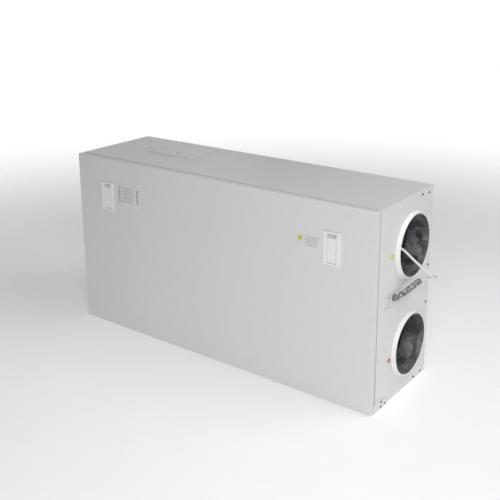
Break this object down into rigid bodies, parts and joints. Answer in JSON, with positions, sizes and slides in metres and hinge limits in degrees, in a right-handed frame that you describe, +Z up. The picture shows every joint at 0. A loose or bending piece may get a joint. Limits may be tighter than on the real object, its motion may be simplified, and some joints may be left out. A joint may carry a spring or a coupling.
{
  "type": "heat recovery ventilation unit",
  "caption": "Flat wall-hung heat recovery ventilator: white sheet casing, drop-down door with paddle latches, round duct collars at both ends, exchanger, filters and fans.",
  "frame": {"origin": "middle of the rectangle under the unit, at the height of its base, measured without the mains lead and its plug", "axes": "+X along the length to the end with the mains gland, -Y out of the door, +Z up"},
  "size_m": [1.0865, 0.298, 0.5218],
  "materials": {
    "white_paint": "satin",
    "galvanised": "satin",
    "core_aluminium": "satin",
    "lining_foam": "matte",
    "white_plastic": "satin",
    "black_plastic": "matte",
    "grey_plastic": "matte",
    "seal_rubber": "matte",
    "filter_media": "matte",
    "filter_card": "matte",
    "strap_webbing": "matte",
    "board_green": "satin",
    "cord_pvc": "satin",
    "exchanger_plates": "satin"
  },
  "bodies": {
    "casing": {"back_lining": "lining_foam", "back_panel": "white_paint", "bottom_lining": "lining_foam", "bottom_panel": "white_paint", "circuit_board": "board_green", "condensate_tray": "black_plastic", "control_box": "galvanised", "cord_coil": "cord_pvc", "cord_gland": "grey_plastic", "cord_run": "cord_pvc", "cord_sleeve": "grey_plastic", "cord_tail": "cord_pvc", "exchanger_core": "exchanger_plates", "exchanger_front_plate": "galvanised", "exchanger_strap": "strap_webbing", "exhaust_collar": "white_plastic", "exhaust_fan_plate": "galvanised", "exhaust_motor_mount": "core_aluminium", "exhaust_sleeve": "galvanised", "extract_collar": "white_plastic", "extract_filter_frame": "filter_card", "extract_filter_media": "filter_media", "extract_sleeve": "galvanised", "heater_frame": "galvanised", "heater_rod": "galvanised", "left_divider": "lining_foam", "left_end_panel": "white_paint", "left_hinge_bracket": "white_paint", "left_latch_keep": "galvanised", "left_lining": "lining_foam", "mains_plug": "white_plastic", "outdoor_collar": "white_plastic", "outdoor_filter_frame": "filter_card", "outdoor_filter_media": "filter_media", "outdoor_sleeve": "galvanised", "right_divider": "lining_foam", "right_end_panel": "white_paint", "right_hinge_bracket": "white_paint", "right_latch_keep": "galvanised", "right_lining": "lining_foam", "service_cover": "white_paint", "supply_collar": "white_plastic", "supply_fan_plate": "galvanised", "supply_motor_mount": "core_aluminium", "supply_sleeve": "galvanised", "top_lining": "lining_foam", "top_panel": "white_paint"},
    "door": {"door_skin": "white_paint", "door_pad": "lining_foam", "door_gasket": "seal_rubber", "right_latch_housing": "white_plastic", "left_latch_housing": "white_plastic"},
    "right_paddle": {"right_latch_paddle": "white_plastic"},
    "left_paddle": {"left_latch_paddle": "white_plastic"},
    "right_bolt": {"right_latch_bolt": "galvanised"},
    "left_bolt": {"left_latch_bolt": "galvanised"},
    "supply_fan": {"supply_impeller": "black_plastic", "supply_rotor": "galvanised"},
    "exhaust_fan": {"exhaust_impeller": "black_plastic", "exhaust_rotor": "galvanised"}
  },
  "joints": [
    {"name": "door_hinge", "type": "hinge", "parent": "casing", "child": "door", "pos_m": [0, -0.129, 0.0055], "axis": [1, 0, 0], "range_deg": [0, 90]},
    {"name": "right_paddle_pull", "type": "hinge", "parent": "door", "child": "right_paddle", "pos_m": [0.382, -0.1473, 0.3735], "axis": [1, 0, 0], "range_deg": [0, 35]},
    {"name": "right_bolt_slide", "type": "slide", "parent": "door", "child": "right_bolt", "axis": [0, 0, -1], "range_m": [0, 0.008], "stiffness_N_per_m": 300, "springref_m": -0.007},
    {"name": "left_paddle_pull", "type": "hinge", "parent": "door", "child": "left_paddle", "pos_m": [-0.382, -0.1473, 0.3735], "axis": [1, 0, 0], "range_deg": [0, 35]},
    {"name": "left_bolt_slide", "type": "slide", "parent": "door", "child": "left_bolt", "axis": [0, 0, -1], "range_m": [0, 0.008], "stiffness_N_per_m": 300, "springref_m": -0.007},
    {"name": "supply_fan_spin", "type": "hinge", "parent": "casing", "child": "supply_fan", "pos_m": [0.35, 0, 0.1404], "axis": [1, 0, 0], "continuous": true},
    {"name": "exhaust_fan_spin", "type": "hinge", "parent": "casing", "child": "exhaust_fan", "pos_m": [-0.35, 0, 0.1404], "axis": [1, 0, 0], "continuous": true}
  ],
  "couplings": [
    {"joint": "right_paddle_pull", "follows": "right_bolt_slide", "rad_per_m": 76.3},
    {"joint": "left_paddle_pull", "follows": "left_bolt_slide", "rad_per_m": 76.3}
  ]
}
